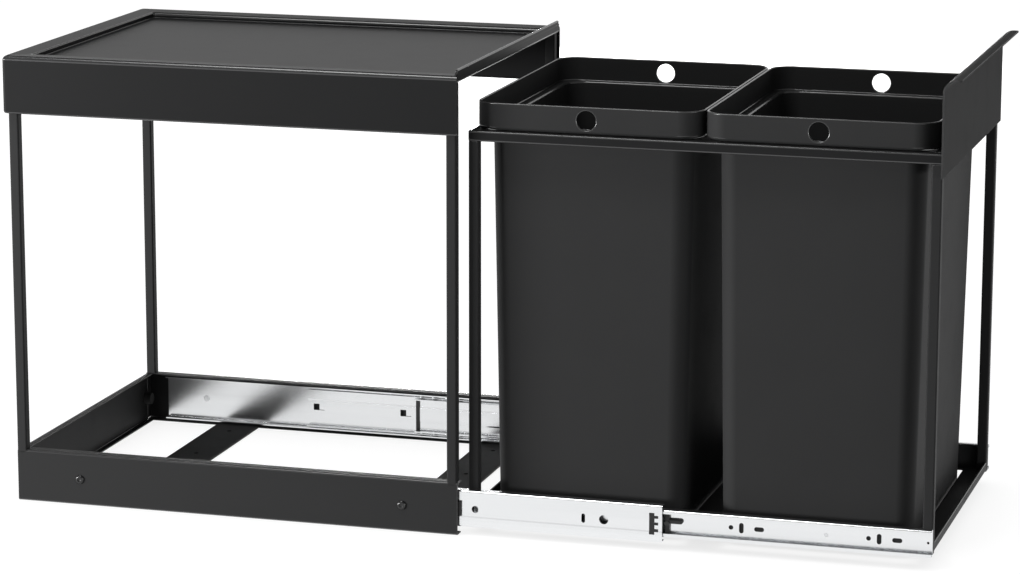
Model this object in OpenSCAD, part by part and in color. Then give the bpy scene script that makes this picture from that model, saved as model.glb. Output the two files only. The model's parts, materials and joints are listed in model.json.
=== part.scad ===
// Pull-out bin frame: a fixed steel frame with a shelf tray on top, and a carriage
// with two lift-out bins that runs out of it on a pair of ball-bearing slides.
// Millimetres. X is the pull-out direction, Z is up, and the floor is Z = 0.
// The origin is the centre of the screw pattern in the two floor straps.
// The model stands as it is when the carriage is pulled right out.

/* [Tray] */
// Length of the tray, from its rear skirt to its front edge
tray_l = 460; // [420:5:560]
// Width of the tray over its side skirts
tray_w = 360; // [320:2:460]
// Height of the tray's rim above the floor
rim_z = 445; // [430:5:520]
// Thickness of the tray's sheet
tray_t = 1.5; // [1:0.1:2]
// Depth of the skirt below the rim
skirt_h = 57; // [45:1:70]
// Width of the flat rim round the recessed shelf
rim_w = 22; // [18:1:36]
// Depth of the shelf below the rim
recess_d = 6.5; // [4:0.5:9]
// Height of the front flange above the rim
flange_up = 5.5; // [3:0.5:9]
// Outside radius of the tray's bends
bend_r = 3.2; // [2.5:0.1:5]

/* [Frame] */
// How far the tray overhangs the posts and the base
overhang = 4; // [3:0.5:8]
// How far the base stands back from the tray's front edge
base_setback = 1; // [0.5:0.5:4]
// Outside size of the square tube
tube = 10; // [8:1:12]
// Wall of the square tube
tube_wall = 1; // [0.8:0.1:1.5]
// Corner radius of the square tube
tube_r = 1.6; // [1.2:0.1:2]
// Height of the base panels
base_h = 52; // [50:1:64]
// Thickness of the base panels' sheet
base_t = 1.5; // [1:0.1:2]
// Width of the flanges of the side panels
base_flange = 12; // [11:0.5:14]
// Width of the flanges of the rear panel
rear_flange = 8; // [4:0.5:8]
// Radius of the rubber bumpers on the rear panel
bumper_r = 6; // [4:0.5:8]
// Length of the rubber bumpers
bumper_l = 8; // [7:0.5:14]

/* [Floor straps] */
// Width of a floor strap
strap_w = 46; // [36:1:60]
// Thickness of a floor strap
strap_t = 2; // [1.5:0.1:2.5]
// Distance between the middles of the two straps
strap_spacing = 293; // [240:1:330]
// Distance of the front strap's middle from the tray's front edge
front_strap_inset = 58; // [40:1:80]
// Diameter of the floor screw holes
strap_hole_d = 5.2; // [4.2:0.1:6.5]
// Spacing of the outer floor screw holes across the frame
outer_hole_spacing = 272; // [200:1:280]
// Spacing of the inner floor screw holes across the frame
inner_hole_spacing = 78; // [40:1:140]

/* [Slides] */
// Thickness of a whole slide
slide_w = 12.7; // [12.4:0.1:14]
// Height of a slide's outer rail
outer_h = 45.6; // [44:0.1:46]
// Thickness of the rails' steel
rail_t = 1.2; // [1:0.05:1.4]
// Diameter of the bearing balls
ball_d = 3.5; // [3:0.1:3.6]
// Running gap between a ball and its race
ball_gap = 0.05; // [0.03:0.01:0.1]
// Distance between balls in a cage
ball_pitch = 14; // [8:1:24]
// Thickness of the ball cages' strip
cage_t = 0.5; // [0.4:0.05:0.6]
// Gap between an outer rail and the rear end of the base
rail_rear_inset = 22; // [16:1:30]
// Gap between an outer rail and the front end of the base
rail_front_inset = 3; // [2:0.5:8]
// Gap between the rear ends of the middle and outer rails when the carriage is pushed in
mid_inset = 55; // [40:1:70]
// How much shorter the middle rail is than the outer rail
mid_short = 77.5; // [70:0.5:100]
// How far the outer cage shows behind the middle rail
cage_tail = 121; // [100:1:125]
// Distance of the rear slide screw from the outer rail's rear end
rear_screw_inset = 44; // [30:1:60]
// Distance of the front slide screw from the outer rail's front end
front_screw_inset = 53; // [40:1:70]
// Diameter of the slide screws' shank
screw_d = 4; // [3:0.1:4.5]
// Distance of the front group of holes from the inner rail's front end
hole_group_inset = 60; // [50:1:80]
// Distance between the two groups of holes in the inner rail
hole_group_pitch = 131; // [100:1:150]
// Distance of the inner rail's screws from its rear end and from its front group of holes
inner_screw_inset = 40; // [30:1:50]
// Depth of the folded lips along the inner rails' edges
inner_fold = 3; // [2:0.5:5]

/* [Carriage] */
// Height of the top of the carriage's ring
ring_top = 391; // [360:1:395]
// Height of the carriage's underside above the floor
carriage_z = 14; // [13:0.5:18]
// Gap between the tray and the carriage when it is pulled out
open_gap = 6; // [4:0.5:12]
// Gap between the tray and the handle plate when the carriage is pushed in
plate_gap = 3; // [2:0.5:6]
// Height of the side sills that the inner rails are screwed to
sill_h = 25; // [23:1:30]
// Thickness of the side sills and of the bars across the ends
sill_t = 2; // [1.5:0.1:3]
// Height of the bars across the carriage's ends
bar_h = 10; // [8:0.5:14]
// Width of the rear bar's flange; the front bar's is wider, to end as near to its bin
bar_flange = 18; // [12:0.5:18]
// Gap between the bar under the middle of the carriage and each bin's foot
mid_bar_gap = 1.5; // [1:0.5:8]

/* [Handle] */
// Width of the handle plate
plate_w = 340; // [310:2:352]
// Thickness of the handle plate
plate_t = 1.5; // [1.2:0.1:2.5]
// Height of the handle plate with its lip
plate_h = 90.5; // [80:0.5:110]
// How far the handle plate reaches below the ring's top
plate_drop = 21.5; // [14:0.5:30]
// Outside radius of the lip's curl
lip_r = 12; // [8:0.5:16]
// How far the lip reaches in front of the plate
lip_reach = 15.5; // [14:0.5:24]

/* [Bins] */
// Height of a bin's collar
collar_h = 26; // [22:1:27]
// Corner radius of a bin's collar
collar_r = 22; // [12:1:28]
// Wall of a bin
bin_wall = 2; // [1.5:0.1:3]
// Width of the ledge between the collar and the body
ledge_w = 12; // [11:0.5:16]
// Distance of the collar from the ring's side faces
collar_side_inset = 6.8; // [5:0.1:7]
// Distance of the rear collar from the ring's rear face
collar_rear_inset = 3; // [2:0.5:6]
// Distance of the front collar from the ring's front face
collar_front_inset = 6.5; // [3:0.5:8]
// Gap between the two collars
collar_gap = 1.5; // [1:0.1:4]
// Slope of each side of a bin's body, in mm over its height
bin_taper = 6; // [3:0.5:12]
// Radius of the upright edges of a bin's body
body_r = 18; // [12:1:28]
// Gap between a bin's floor and the room floor
bin_floor_gap = 9; // [6:0.5:13]
// Diameter of the finger holes in the collar
finger_d = 18.6; // [14:0.2:19]

/* [Hidden] */
$fn = 48;

// Gap between flat faces that move past or rest on each other
slip = 0.3;
// Gap round a shank or a clip in its hole
hole_gap = 0.1;
// Radial gap round a pin that turns
pin_gap = 0.06;
// Overshoot of a cut past the face that it opens
cut = 1;

NEAR = -1;
FAR = 1;
BACK = -1;
FRONT = 1;

// Frame, from rear to front
front_x = strap_spacing / 2 + front_strap_inset;
rear_x = front_x - tray_l;
base_rear_x = rear_x + overhang;
base_front_x = front_x - base_setback;
base_half = tray_w / 2 - overhang;
web_y = base_half - base_t;
post_top = rim_z - tray_t;
post_front_x = min(base_front_x, front_x - tray_t - slip);
shelf_z = rim_z - recess_d;
pan_half = tray_w / 2 - rim_w;
pan_rear_x = rear_x + rim_w;

// Slide heights from the middle line of a slide, outwards
slide_z = base_h / 2;
race = ball_d + 2 * ball_gap;
outer_top = outer_h / 2;
outer_race = outer_top - rail_t;
mid_top = outer_race - race;
inner_race = mid_top - rail_t;
inner_top = inner_race - race;
flange_room = 1.5;
lever_half = inner_top - rail_t - flange_room;

// Slide depths from the side panel, inwards
screw_end_h = 0.2;
clip_t = 0.7;
outer_lip = 9.5;
outer_cage_u = rail_t + screw_end_h + slip;
mid_u = outer_cage_u + cage_t + slip;
mid_emboss = 0.4;
band_half = 7;
band_slope = 1.5;
mid_lip = 10.8;
band_u = mid_u + mid_emboss + rail_t;
inner_cage_u = band_u + slip;
inner_lip = inner_cage_u + cage_t + slip;
rail_face = slide_w - rail_t;
outer_ball_u = (mid_u + outer_lip) / 2;
inner_ball_u = (inner_lip + mid_lip) / 2;

// Carriage: pushed in, it stops at the bumpers; the model shows it pulled out
bumper_x = base_rear_x + base_t;
bumper_gap = 0.5;
carriage_l = front_x + plate_gap - (bumper_x + bumper_l + bumper_gap);
carriage_rear_x = front_x + open_gap;
carriage_front_x = carriage_rear_x + carriage_l;
travel = carriage_front_x - front_x - plate_gap;
carriage_half = web_y - slide_w;
bar_half = carriage_half - tube;
ring_z = ring_top - tube;

// Rails along X, with the carriage pulled out
outer_rear_x = base_rear_x + rail_rear_inset;
outer_front_x = base_front_x - rail_front_inset;
outer_l = outer_front_x - outer_rear_x;
mid_l = outer_l - mid_short;
mid_rear_x = outer_rear_x + mid_inset + travel / 2;
mid_front_x = mid_rear_x + mid_l;
inner_inset = 6;
inner_rear_x = carriage_rear_x + inner_inset;
cage_front_room = 80;
outer_cage_x = [mid_rear_x - cage_tail, outer_front_x - cage_front_room];
cage_inset = 6;
window_l = 12;
window_h = 7;
window_inset = 6;
window_x = [outer_cage_x[0] + window_inset, mid_rear_x - window_inset - window_l];
stop_l = 5;
stop_rim = 1.4;
stop_inset = 7.5;
stop_x = mid_front_x - stop_inset - stop_l;
rivet_slot_inset = 77;
rivet_slot_x = mid_front_x - rivet_slot_inset;
inner_cage_x = [inner_rear_x + cage_inset, rivet_slot_x - 2 * cage_inset];
lever_l = 4.6;
lever_gap = 1.2;
lever_x = mid_front_x + lever_gap + lever_l / 2;
slide_screw_x = [outer_rear_x + rear_screw_inset, outer_front_x - front_screw_inset];
inner_screw_x = [inner_rear_x + inner_screw_inset, carriage_front_x - hole_group_inset - inner_screw_inset];

// Bins
collar_half = carriage_half - collar_side_inset;
collar_l = (carriage_l - collar_rear_inset - collar_front_inset - collar_gap) / 2;
rear_bin_x = carriage_rear_x + collar_rear_inset + collar_l / 2;
front_bin_x = rear_bin_x + collar_l + collar_gap;
collar_z = ring_top + slip;
bin_floor_z = bin_floor_gap;
finger_z = collar_z + collar_h / 2;

black_steel = "#2b2c2e";
black_plastic = "#1f2021";
bin_plastic = "#2a2a2b";
zinc = "#c9cccd";
bright_steel = "#b9bdc0";
rubber = "#161616";

// Bent sheet: a path of points with rounded corners, thickened to both sides
function unit(v) = v / norm(v);
function left_of(v) = [-v[1], v[0]];
function turn(v, a) = [v[0] * cos(a) - v[1] * sin(a), v[0] * sin(a) + v[1] * cos(a)];
function corner(a, b, c, r, n = 5) =
  let (
    to_a = unit(a - b),
    to_c = unit(c - b),
    half = acos(to_a * to_c) / 2,
    reach = min(r / tan(half), norm(a - b) / 2.2, norm(c - b) / 2.2),
    radius = reach * tan(half),
    centre = b + unit(to_a + to_c) * radius / sin(half),
    start = b + to_a * reach - centre,
    side = sign(to_a[0] * to_c[1] - to_a[1] * to_c[0]),
    sweep = -side * (180 - 2 * half)
  )
  [for (k = [0:n]) centre + turn(start, sweep * k / n)];
function rounded(path, r) = [
  for (i = [0:len(path) - 1])
    each (i == 0 || i == len(path) - 1)
      ? [path[i]]
      : corner(path[i - 1], path[i], path[i + 1], r)
];
function beside(path, d) = [
  for (i = [0:len(path) - 1])
    let (
      ahead = unit(path[min(i + 1, len(path) - 1)] - path[min(i, len(path) - 2)]),
      behind = unit(path[max(i, 1)] - path[max(i - 1, 0)]),
      out = unit(left_of(ahead) + left_of(behind))
    )
    path[i] + out * d / (out * left_of(ahead))
];
function backwards(list) = [for (i = [len(list) - 1:-1:0]) list[i]];
function strip(path, t) = concat(beside(path, t / 2), backwards(beside(path, -t / 2)));

// A section drawn in the YZ plane, carried along X
module along_x(x0, x1) {
  translate([x0, 0, 0]) rotate([90, 0, 90]) linear_extrude(x1 - x0) children();
}

// A section drawn in the XZ plane, carried along Y
module along_y(y0, y1) {
  translate([0, y1, 0]) rotate([90, 0, 0]) linear_extrude(y1 - y0) children();
}

module box(low, high) {
  translate(low) cube(high - low);
}

// A round bar along Y between two places
module rod_y(x, z, y0, y1, r) {
  translate([x, max(y0, y1), z]) rotate([90, 0, 0]) cylinder(r = r, h = abs(y1 - y0));
}

module rod_x(x0, x1, y, z, r) {
  translate([x0, y, z]) rotate([0, 90, 0]) cylinder(r = r, h = x1 - x0);
}

module rounded_rect(w, d, r) {
  square([w, d - 2 * r], center = true);
  square([w - 2 * r, d], center = true);
  for (x = [-1, 1], y = [-1, 1])
    translate([x * (w / 2 - r), y * (d / 2 - r)]) circle(r);
}

module tube_section() {
  inside = tube - 2 * tube_wall;
  difference() {
    rounded_rect(tube, tube, tube_r);
    rounded_rect(inside, inside, max(tube_r - tube_wall, 0.2));
  }
}

module tube_z(x, y, z0, z1) {
  translate([x, y, z0]) linear_extrude(z1 - z0) tube_section();
}

module tube_x(x0, x1, y, z) {
  along_x(x0, x1) translate([y, z]) tube_section();
}

module tube_y(y0, y1, x, z) {
  along_y(y0, y1) translate([x, z]) tube_section();
}

// Top tray: one folded sheet with a flat rim, a skirt on three sides,
// a sunk shelf and an upturned flange along its front edge
module cover(inset, z0, z1, r) {
  x0 = rear_x + inset;
  half = tray_w / 2 - inset;
  intersection() {
    hull()
      for (x = [x0 + r, front_x + 2 * r], side = [NEAR, FAR])
        translate([x, side * (half - r), z0]) {
          cylinder(r = r, h = z1 - z0 - r, $fn = 32);
          translate([0, 0, z1 - z0 - r]) sphere(r, $fn = 32);
        }
    box([x0 - cut, -tray_w, z0 - cut], [front_x, tray_w, z1 + cut]);
  }
}

module pan(inset, z0, z1) {
  box(
    [pan_rear_x + inset, -pan_half + inset, z0],
    [front_x - tray_t, pan_half - inset, z1]
  );
}

module top_tray() {
  flange_half = tray_w / 2 - tray_t;
  flange_h = flange_up + recess_d + tray_t;
  color(black_steel) {
    difference() {
      union() {
        difference() {
          cover(0, rim_z - skirt_h, rim_z, bend_r);
          cover(tray_t, rim_z - skirt_h - cut, rim_z - tray_t, bend_r - tray_t);
        }
        pan(0, shelf_z - tray_t, rim_z - tray_t);
      }
      pan(tray_t, shelf_z, rim_z + cut);
    }
    along_x(front_x - tray_t, front_x) {
      translate([-flange_half, shelf_z - tray_t]) square([2 * flange_half, flange_h - bend_r]);
      translate([bend_r - flange_half, shelf_z - tray_t])
        square([2 * (flange_half - bend_r), flange_h]);
      for (side = [NEAR, FAR])
        translate([side * (flange_half - bend_r), rim_z + flange_up - bend_r]) circle(bend_r);
    }
  }
}

// Base: two side channels that hold the slides, joined by a rear channel
module side_base(side) {
  middle = base_half - base_t / 2;
  edge = base_half - base_flange;
  low = base_t / 2;
  high = base_h - base_t / 2;
  path = [
    [side * edge, high], [side * middle, high],
    [side * middle, low], [side * edge, low]
  ];
  color(black_steel)
    difference() {
      along_x(base_rear_x, base_front_x) polygon(strip(rounded(path, base_t), base_t));
      for (x = slide_screw_x)
        rod_y(x, slide_z, side * (web_y - cut), side * (base_half + cut), screw_d / 2 + hole_gap);
    }
}

module near_base() {
  side_base(NEAR);
}

module far_base() {
  side_base(FAR);
}

module rear_base() {
  edge = base_half - base_flange;
  middle = base_rear_x + base_t / 2;
  lip = base_rear_x + rear_flange;
  bend_clear = 1.5 * base_t;
  path = [
    [lip, base_h - base_t / 2], [middle, base_h - base_t / 2],
    [middle, base_t / 2], [lip, base_t / 2]
  ];
  color(black_steel) {
    along_y(-edge, edge) polygon(strip(rounded(path, base_t), base_t));
    for (side = [NEAR, FAR])
      box(
        [base_rear_x, min(side * edge, side * web_y), bend_clear],
        [base_rear_x + base_t, max(side * edge, side * web_y), base_h - bend_clear]
      );
  }
}

module rear_bumpers() {
  color(rubber)
    for (side = [NEAR, FAR])
      rod_x(bumper_x, bumper_x + bumper_l, side * (carriage_half - tube / 2), slide_z, bumper_r);
}

// Frame posts: square tubes that stand on the side channels and carry the tray
module frame_post(end, side) {
  x = end == BACK ? base_rear_x + tube / 2 : post_front_x - tube / 2;
  color(black_steel) tube_z(x, side * (base_half - tube / 2), base_h, post_top);
}

module rear_near_post() {
  frame_post(BACK, NEAR);
}

module rear_far_post() {
  frame_post(BACK, FAR);
}

module front_near_post() {
  frame_post(FRONT, NEAR);
}

module front_far_post() {
  frame_post(FRONT, FAR);
}

// Floor straps: flat bars between the side channels, drilled for floor screws
module floor_strap(x) {
  half = base_half - base_flange;
  color(black_steel)
    difference() {
      box([x - strap_w / 2, -half, 0], [x + strap_w / 2, half, strap_t]);
      for (spacing = [outer_hole_spacing, inner_hole_spacing], side = [NEAR, FAR])
        translate([x, side * spacing / 2, -cut]) cylinder(d = strap_hole_d, h = strap_t + 2 * cut);
    }
}

module mid_strap() {
  floor_strap(-strap_spacing / 2);
}

module front_strap() {
  floor_strap(strap_spacing / 2);
}

// Slides: u is the depth from the side panel, v the height from the middle line
function at(side, u, v) = [side * (web_y - u), slide_z + v];
function channel(side, u, lip, v) = [
  at(side, lip, v), at(side, u, v), at(side, u, -v), at(side, lip, -v)
];

module rail_section(path) {
  polygon(strip(rounded(path, rail_t), rail_t));
}

module web_window(side, x0, x1, u0, u1) {
  y0 = side * (web_y - u0);
  y1 = side * (web_y - u1);
  box([x0, min(y0, y1), slide_z - window_h / 2], [x1, max(y0, y1), slide_z + window_h / 2]);
}

// Outer rails: channels with two windows that lie behind those of the cage
module outer_rail(side) {
  color(zinc)
    difference() {
      along_x(outer_rear_x, outer_front_x)
        rail_section(channel(side, rail_t / 2, outer_lip, outer_top - rail_t / 2));
      for (x = slide_screw_x)
        rod_y(
          x, slide_z, side * (web_y + cut), side * (web_y - rail_t - cut), screw_d / 2 + hole_gap
        );
      for (x = window_x) web_window(side, x, x + window_l / 2, -cut, rail_t + cut);
    }
}

module near_outer_rail() {
  outer_rail(NEAR);
}

module far_outer_rail() {
  outer_rail(FAR);
}

// Slide screws: button heads outside the panel, flattened ends inside the rail
module slide_screws() {
  head_r = 4.4;
  head_h = 2.2;
  end_r = 3.4;
  end_y = web_y - rail_t;
  color(black_steel)
    for (side = [NEAR, FAR], x = slide_screw_x) {
      rod_y(x, slide_z, side * base_half, side * end_y, screw_d / 2);
      rod_y(x, slide_z, side * base_half, side * (base_half + head_h), head_r);
      rod_y(x, slide_z, side * end_y, side * (end_y - screw_end_h), end_r);
    }
}

// Front clips: plastic tongues in the front ends of the outer rails
module front_clip(side) {
  clip_half = 7;
  clip_in = 16;
  clip_out = 6;
  y0 = side * (web_y - rail_t);
  y1 = side * (web_y - rail_t - clip_t);
  color(black_plastic)
    box(
      [outer_front_x - clip_in, min(y0, y1), slide_z - clip_half],
      [outer_front_x + clip_out, max(y0, y1), slide_z + clip_half]
    );
}

module near_front_clip() {
  front_clip(NEAR);
}

module far_front_clip() {
  front_clip(FAR);
}

// A channel whose web is stepped in along its middle band
function stepped(side, u, lip, v, step) = [
  at(side, lip, v), at(side, u, v), at(side, u, band_half + band_slope),
  at(side, u + step, band_half), at(side, u + step, -band_half),
  at(side, u, -band_half - band_slope), at(side, u, -v), at(side, lip, -v)
];

// Ball cages: channels of thin strip with a hole for each ball
function ball_row(x) =
  let (n = floor((x[1] - x[0] - 2 * ball_d) / ball_pitch))
  [for (k = [0:n]) (x[0] + x[1]) / 2 + (k - n / 2) * ball_pitch];

module ball_cage(side, x, path, ball_u, v, balls) {
  color(bright_steel)
    difference() {
      along_x(x[0], x[1]) polygon(strip(rounded(path, cage_t), cage_t));
      for (bx = balls)
        translate([bx, side * (web_y - ball_u), slide_z - v - ball_d])
          cylinder(d = ball_d + 2 * hole_gap, h = 2 * (v + ball_d));
    }
}

module ball_set(side, ball_u, v, balls) {
  color(bright_steel)
    for (bx = balls, up = [-1, 1])
      translate([bx, side * (web_y - ball_u), slide_z + up * v]) sphere(d = ball_d);
}

outer_ball_v = (outer_race + mid_top) / 2;
inner_ball_v = (inner_race + inner_top) / 2;
outer_balls_x = ball_row([mid_rear_x, outer_cage_x[1]]);
inner_balls_x = ball_row(inner_cage_x);

module outer_cage(side) {
  u0 = outer_cage_u - slip;
  u1 = outer_cage_u + mid_emboss + cage_t + slip;
  path = stepped(side, outer_cage_u + cage_t / 2, outer_lip - slip, outer_ball_v, mid_emboss);
  color(bright_steel)
    difference() {
      ball_cage(side, outer_cage_x, path, outer_ball_u, outer_ball_v, outer_balls_x);
      for (x = window_x) web_window(side, x, x + window_l, u0, u1);
    }
}

module near_outer_cage() {
  outer_cage(NEAR);
}

module far_outer_cage() {
  outer_cage(FAR);
}

module near_outer_balls() {
  ball_set(NEAR, outer_ball_u, outer_ball_v, outer_balls_x);
}

module far_outer_balls() {
  ball_set(FAR, outer_ball_u, outer_ball_v, outer_balls_x);
}

module inner_cage(side) {
  path = channel(side, inner_cage_u + cage_t / 2, mid_lip - slip, inner_ball_v);
  ball_cage(side, inner_cage_x, path, inner_ball_u, inner_ball_v, inner_balls_x);
}

module near_inner_cage() {
  inner_cage(NEAR);
}

module far_inner_cage() {
  inner_cage(FAR);
}

module near_inner_balls() {
  ball_set(NEAR, inner_ball_u, inner_ball_v, inner_balls_x);
}

module far_inner_balls() {
  ball_set(FAR, inner_ball_u, inner_ball_v, inner_balls_x);
}

// A round hole or a round-ended slot through a rail's web, on its middle line
module slot_y(side, x, w, h, u0, u1) {
  r = min(w, h) / 2;
  reach_x = w / 2 - r;
  reach_z = h / 2 - r;
  y0 = side * (web_y - u0);
  y1 = side * (web_y - u1);
  for (end = w == h ? [0] : [-1, 1])
    rod_y(x + end * reach_x, slide_z + end * reach_z, y0, y1, r);
  if (w > h)
    box([x - reach_x, min(y0, y1), slide_z - r], [x + reach_x, max(y0, y1), slide_z + r]);
  if (h > w)
    box([x - r, min(y0, y1), slide_z - reach_z], [x + r, max(y0, y1), slide_z + reach_z]);
}

module stop_block(side, grow, u0, u1, rim) {
  y0 = side * (web_y - u0);
  y1 = side * (web_y - u1);
  box(
    [stop_x - rim - grow, min(y0, y1), slide_z - lever_half - grow],
    [stop_x + stop_l + rim + grow, max(y0, y1), slide_z + lever_half + grow]
  );
}

// Teeth that reach forwards from an end stop
module stop_teeth(side, grow, u0, u1) {
  tooth_l = 3.6;
  tooth_h = 2.6;
  tooth_pitch = 6.5;
  y0 = side * (web_y - u0);
  y1 = side * (web_y - u1);
  for (k = [-1:1])
    box(
      [stop_x, min(y0, y1), slide_z + k * tooth_pitch - tooth_h / 2 - grow],
      [stop_x + stop_l + tooth_l + grow, max(y0, y1), slide_z + k * tooth_pitch + tooth_h / 2 + grow]
    );
}

// Middle rails: channels whose web is stepped in along its middle band
module mid_rail(side) {
  web = mid_u + rail_t / 2;
  v = mid_top - rail_t / 2;
  u0 = mid_u - cut;
  u1 = web + mid_emboss + rail_t;
  gauge_hole_inset = 184;
  gauge_hole_d = 7;
  rivet_slot_w = 3.6;
  rivet_hole_h = 9;
  round_hole_inset = 57;
  color(zinc)
    difference() {
      along_x(mid_rear_x, mid_front_x)
        rail_section(stepped(side, web, mid_lip, v, mid_emboss));
      slot_y(side, mid_front_x - gauge_hole_inset, gauge_hole_d, gauge_hole_d, u0, u1);
      slot_y(side, rivet_slot_x, rivet_slot_w, rivet_hole_h, u0, u1);
      slot_y(side, mid_front_x - round_hole_inset, rivet_hole_h, rivet_hole_h, u0, u1);
      stop_block(side, hole_gap, u0, u1, 0);
      stop_teeth(side, hole_gap, u0, u1);
    }
}

module near_mid_rail() {
  mid_rail(NEAR);
}

module far_mid_rail() {
  mid_rail(FAR);
}

// End stops: plastic blocks clipped into windows near the middle rails' front ends
module end_stop(side) {
  color(black_plastic) {
    stop_block(side, 0, mid_u, band_u, 0);
    stop_teeth(side, 0, mid_u, band_u);
    stop_block(side, 0, band_u, band_u + clip_t, stop_rim);
  }
}

module near_end_stop() {
  end_stop(NEAR);
}

module far_end_stop() {
  end_stop(FAR);
}

// Rear clips: plastic strips across the rear ends of the middle rails
module rear_clip(side) {
  rear_clip_l = 4;
  y0 = side * (web_y - band_u);
  y1 = side * (web_y - band_u - clip_t);
  clip_half = inner_race - slip;
  color(black_plastic)
    box(
      [mid_rear_x, min(y0, y1), slide_z - clip_half],
      [mid_rear_x + rear_clip_l, max(y0, y1), slide_z + clip_half]
    );
}

module near_rear_clip() {
  rear_clip(NEAR);
}

module far_rear_clip() {
  rear_clip(FAR);
}

// Inner rails: shallow channels with folded lips, screwed to the carriage's sills
lever_pin_r = 1.5;
inner_screw_r = 1.8;

module inner_rail(side) {
  v = inner_top - rail_t / 2;
  web = slide_w - rail_t / 2;
  lip = inner_lip + rail_t / 2;
  path = [
    at(side, lip, v - inner_fold), at(side, lip, v), at(side, web, v),
    at(side, web, -v), at(side, lip, -v), at(side, lip, inner_fold - v)
  ];
  u0 = rail_face - cut;
  u1 = slide_w + cut;
  group = carriage_front_x - hole_group_inset;
  hole_w = 4.4;
  slot_h = 10;
  slot_step = 10;
  slot_l = 9.5;
  long_step = 27;
  end_hole_d = 2.4;
  end_hole_inset = 4;
  color(zinc)
    difference() {
      along_x(inner_rear_x, carriage_front_x) rail_section(path);
      for (x = [group, group - hole_group_pitch]) {
        slot_y(side, x, hole_w, hole_w, u0, u1);
        slot_y(side, x + slot_step, hole_w, slot_h, u0, u1);
        slot_y(side, x + long_step, slot_l, hole_w, u0, u1);
      }
      slot_y(side, carriage_front_x - end_hole_inset, end_hole_d, end_hole_d, u0, u1);
      rod_y(
        lever_x, slide_z, side * (web_y - u0), side * (web_y - u1), lever_pin_r + hole_gap
      );
      for (x = inner_screw_x)
        rod_y(x, slide_z, side * (web_y - u0), side * (web_y - u1), inner_screw_r + hole_gap);
    }
}

module near_inner_rail() {
  inner_rail(NEAR);
}

module far_inner_rail() {
  inner_rail(FAR);
}

// Inner rail screws: driven from inside the carriage, flush in the rails
module inner_rail_screws() {
  head_r = 3.4;
  head_h = 1.8;
  inside = carriage_half - sill_t;
  color(bright_steel)
    for (side = [NEAR, FAR], x = inner_screw_x) {
      rod_y(x, slide_z, side * (web_y - rail_face), side * inside, inner_screw_r);
      rod_y(x, slide_z, side * inside, side * (inside - head_h), head_r);
    }
}

// Release levers: plastic tees that turn on rivets in the inner rails
lever_t = 3.3;
tongue_l = 15;
tongue_h = 5;
tongue_rise = 2;
lever_u = rail_face - slip - lever_t;

module release_lever(side) {
  y0 = side * (web_y - lever_u);
  y1 = side * (web_y - lever_u - lever_t);
  tongue_z = slide_z + tongue_rise;
  color(black_plastic)
    difference() {
      union() {
        box(
          [lever_x - lever_l / 2, min(y0, y1), slide_z - lever_half],
          [lever_x + lever_l / 2, max(y0, y1), slide_z + lever_half]
        );
        box(
          [lever_x, min(y0, y1), tongue_z - tongue_h / 2],
          [lever_x + tongue_l - tongue_h / 2, max(y0, y1), tongue_z + tongue_h / 2]
        );
        rod_y(lever_x + tongue_l - tongue_h / 2, tongue_z, y0, y1, tongue_h / 2);
      }
      rod_y(lever_x, slide_z, y0 + side * cut, y1 - side * cut, lever_pin_r + pin_gap);
    }
}

module near_release_lever() {
  release_lever(NEAR);
}

module far_release_lever() {
  release_lever(FAR);
}

module lever_rivets() {
  head_r = 2.4;
  head_h = 0.8;
  color(bright_steel)
    for (side = [NEAR, FAR]) {
      u = lever_u - slip / 2;
      rod_y(lever_x, slide_z, side * (web_y - u), side * (web_y - slide_w), lever_pin_r);
      rod_y(lever_x, slide_z, side * (web_y - u), side * (web_y - u + head_h), head_r);
    }
}

// Carriage: a ring of square tube on four stands, joined at the bottom by
// folded sills along the slides, folded bars across the ends and a flat bar between the bins
module carriage_stand(end, side) {
  x = end == BACK ? carriage_rear_x + tube / 2 : carriage_front_x - tube / 2;
  color(black_steel) tube_z(x, side * (carriage_half - tube / 2), carriage_z, ring_z);
}

module rear_near_stand() {
  carriage_stand(BACK, NEAR);
}

module rear_far_stand() {
  carriage_stand(BACK, FAR);
}

module front_near_stand() {
  carriage_stand(FRONT, NEAR);
}

module front_far_stand() {
  carriage_stand(FRONT, FAR);
}

module sill(side) {
  wall = carriage_half - sill_t / 2;
  low = carriage_z + sill_t / 2;
  path = [
    [side * wall, carriage_z + sill_h], [side * wall, low], [side * (carriage_half - tube), low]
  ];
  color(black_steel)
    difference() {
      along_x(carriage_rear_x + tube, carriage_front_x - tube)
        polygon(strip(rounded(path, sill_t), sill_t));
      for (x = inner_screw_x)
        rod_y(
          x, slide_z, side * (carriage_half + cut), side * (carriage_half - sill_t - cut),
          inner_screw_r + hole_gap
        );
    }
}

module near_sill() {
  sill(NEAR);
}

module far_sill() {
  sill(FAR);
}

module bottom_bar(end) {
  face = end == BACK ? carriage_rear_x : carriage_front_x;
  wall = face - end * sill_t / 2;
  low = carriage_z + sill_t / 2;
  flange = end == BACK ? bar_flange : bar_flange + collar_front_inset - collar_rear_inset;
  path = [[wall, carriage_z + bar_h], [wall, low], [face - end * flange, low]];
  color(black_steel)
    along_y(-bar_half, bar_half) polygon(strip(rounded(path, sill_t), sill_t));
}

module rear_bottom_bar() {
  bottom_bar(BACK);
}

module mid_bottom_bar() {
  x = (rear_bin_x + front_bin_x) / 2;
  half = (front_bin_x - rear_bin_x - collar_l) / 2 + ledge_w + bin_taper - mid_bar_gap;
  color(black_steel)
    along_y(-bar_half, bar_half)
      polygon([
        [x - half, carriage_z], [x + half, carriage_z],
        [x + half, carriage_z + sill_t], [x - half, carriage_z + sill_t]
      ]);
}

module front_bottom_bar() {
  bottom_bar(FRONT);
}

module side_ring_bar(side) {
  color(black_steel)
    tube_x(carriage_rear_x, carriage_front_x, side * (carriage_half - tube / 2), ring_top - tube / 2);
}

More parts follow.
